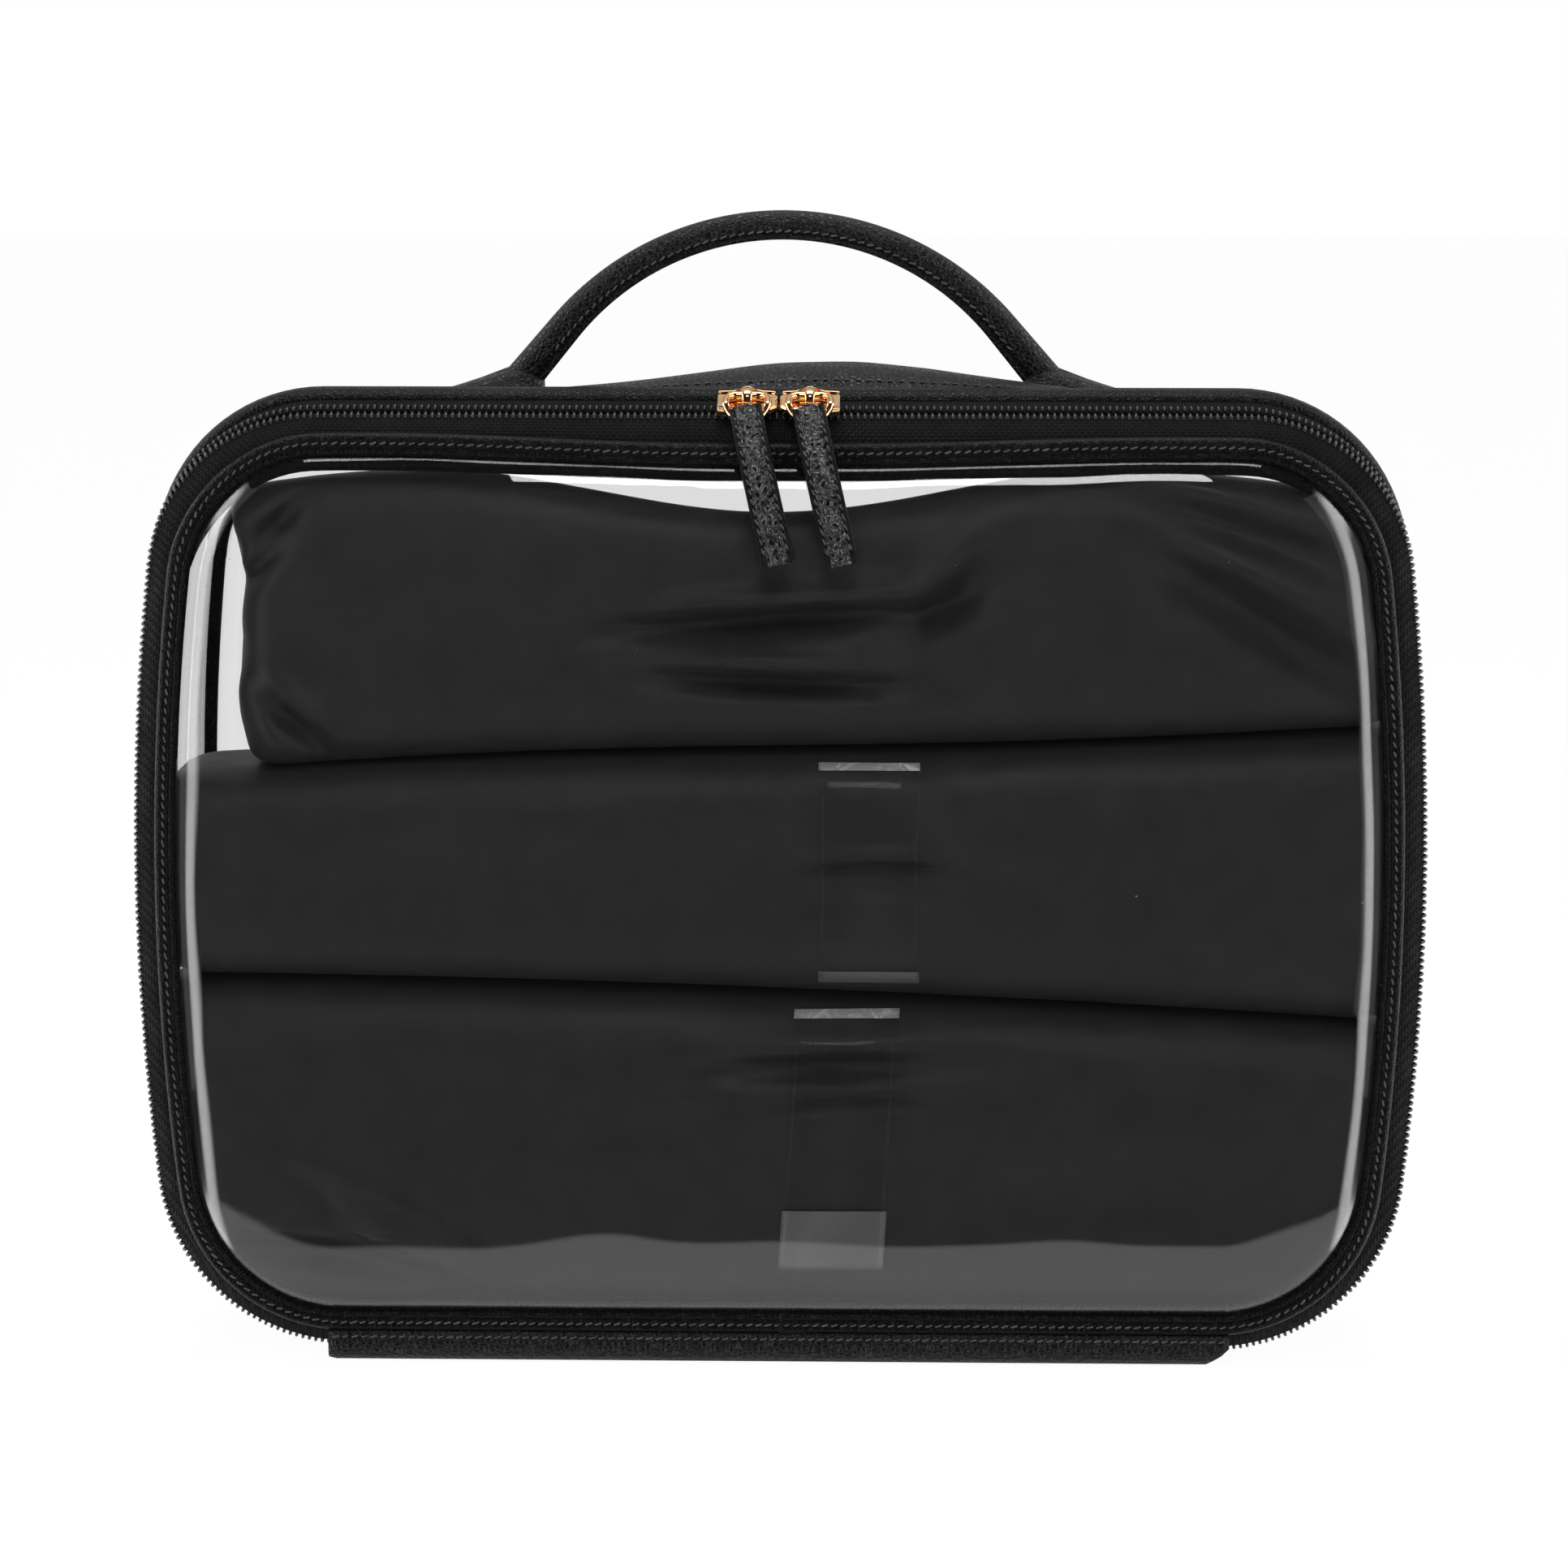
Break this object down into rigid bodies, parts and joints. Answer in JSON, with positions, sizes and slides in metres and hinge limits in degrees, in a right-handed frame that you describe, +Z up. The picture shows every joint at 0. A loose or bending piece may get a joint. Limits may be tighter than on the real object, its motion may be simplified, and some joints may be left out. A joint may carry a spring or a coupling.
{
  "type": "makeup train case",
  "caption": "Clear zip-round makeup train case with black leather binding, a fold-down front, paired zip pulls and a rolled carry handle.",
  "frame": {"origin": "middle of the footprint on the table, under the case", "axes": "+X to the right of someone facing the front window, +Y to the back, +Z up"},
  "size_m": [0.2668, 0.0938, 0.2347],
  "materials": {
    "clear_vinyl": "clear glossy film",
    "clear_tape": "clear glossy tape",
    "black_leather": "pebbled, semi-gloss",
    "zip_tape": "woven, matt",
    "zip_coil": "semi-gloss nylon",
    "gold_metal": "polished pale gold plate",
    "black_nylon": "fine plain weave, slight sheen",
    "inner_board": "plain"
  },
  "bodies": {
    "base": {"back_panel": "clear_vinyl", "back_binding": "black_leather", "side_gusset": "clear_vinyl", "rear_zip_tape": "zip_tape", "rear_zip_coil": "zip_coil", "rear_zip_binding": "black_leather", "hinge_strip": "black_leather", "handle_patch": "black_leather", "handle_stiffener": "inner_board", "handle_anchor_left": "black_leather", "handle_anchor_right": "black_leather"},
    "lid": {"front_window": "clear_vinyl", "front_binding": "black_leather", "front_zip_tape": "zip_tape", "front_zip_coil": "zip_coil", "hinge_flap": "black_leather", "filler_roll_top": "black_nylon", "filler_roll_middle": "black_nylon", "filler_roll_bottom": "black_nylon", "tape_strip_middle": "clear_tape", "tape_strip_bottom": "clear_tape"},
    "left_slider": {"left_slider_body": "gold_metal", "left_slider_bail": "gold_metal"},
    "left_pull": {"left_pull_loop": "gold_metal", "left_pull_tab": "black_leather"},
    "right_slider": {"right_slider_body": "gold_metal", "right_slider_bail": "gold_metal"},
    "right_pull": {"right_pull_loop": "gold_metal", "right_pull_tab": "black_leather"},
    "handle": {"handle_grip": "black_leather", "handle_core": "inner_board"}
  },
  "joints": [
    {"name": "lid_hinge", "type": "hinge", "parent": "base", "child": "lid", "pos_m": [0, -0.0369, 0.0006], "axis": [1, 0, 0], "range_deg": [0, 76]},
    {"name": "left_slider_run", "type": "slide", "parent": "lid", "child": "left_slider", "axis": [-1, 0, 0], "range_m": [0, 0.08]},
    {"name": "right_slider_run", "type": "slide", "parent": "lid", "child": "right_slider", "axis": [1, 0, 0], "range_m": [0, 0.08]},
    {"name": "left_pull_swing", "type": "hinge", "parent": "left_slider", "child": "left_pull", "pos_m": [-0.0063, -0.02863, 0.19969], "axis": [-1, 0, 0], "range_deg": [0, 100]},
    {"name": "right_pull_swing", "type": "hinge", "parent": "right_slider", "child": "right_pull", "pos_m": [0.0063, -0.02863, 0.19969], "axis": [-1, 0, 0], "range_deg": [0, 100]},
    {"name": "handle_tilt", "type": "hinge", "parent": "base", "child": "handle", "pos_m": [0, 0.01199, 0.20143], "axis": [1, 0, 0], "range_deg": [-60, 60], "stiffness_Nm_per_rad": 0.05}
  ]
}
